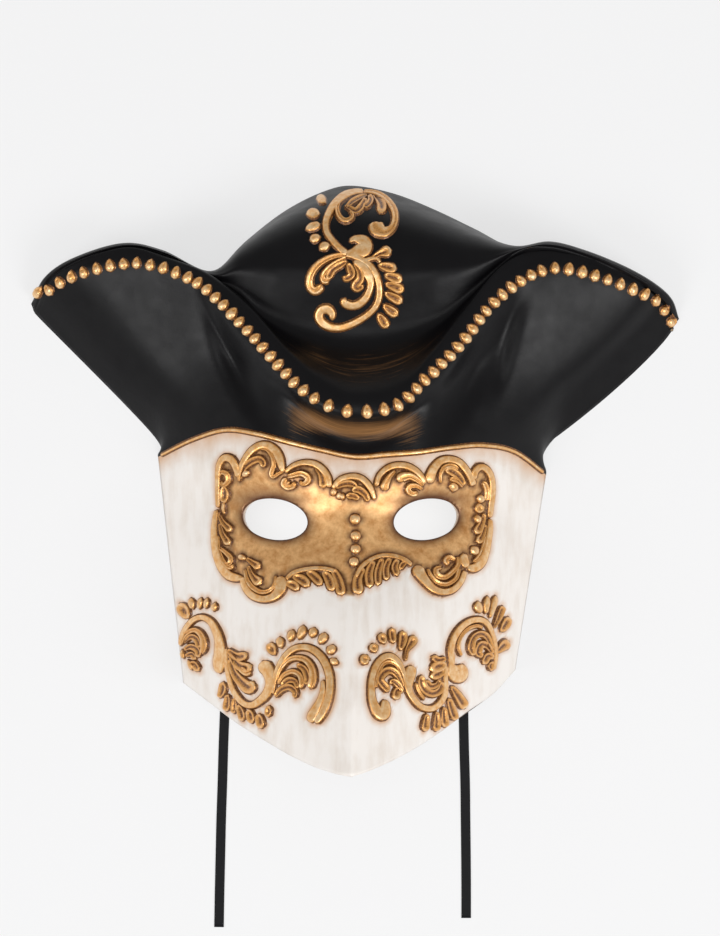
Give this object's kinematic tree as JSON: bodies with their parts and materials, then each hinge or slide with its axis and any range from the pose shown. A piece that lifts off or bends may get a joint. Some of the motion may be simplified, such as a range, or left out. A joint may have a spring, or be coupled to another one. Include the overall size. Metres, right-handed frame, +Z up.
{
  "type": "bauta mask",
  "caption": "Hollow papier-mache bauta mask moulded in one with a tricorn hat, gilded scroll relief, eye holes and black ties, lying on its back rim.",
  "frame": {"origin": "on the surface the mask lies on, under the middle of the mask's outline", "axes": "+Z up out of the face, +Y towards the top of the hat, +X across the hat to the right of the picture"},
  "size_m": [0.3217, 0.368, 0.112],
  "materials": {
    "painted_papier_mache": "ivory paint on gesso with umber patina, black lacquered hat, raw paper inside",
    "gilding": "gold leaf paint on raised plaster, umber in the hollows",
    "black_tape": "woven black satin tape"
  },
  "bodies": {
    "root": {"mask_shell": "painted_papier_mache", "ribbon_left": "black_tape", "ribbon_right": "black_tape"}
  },
  "joints": []
}
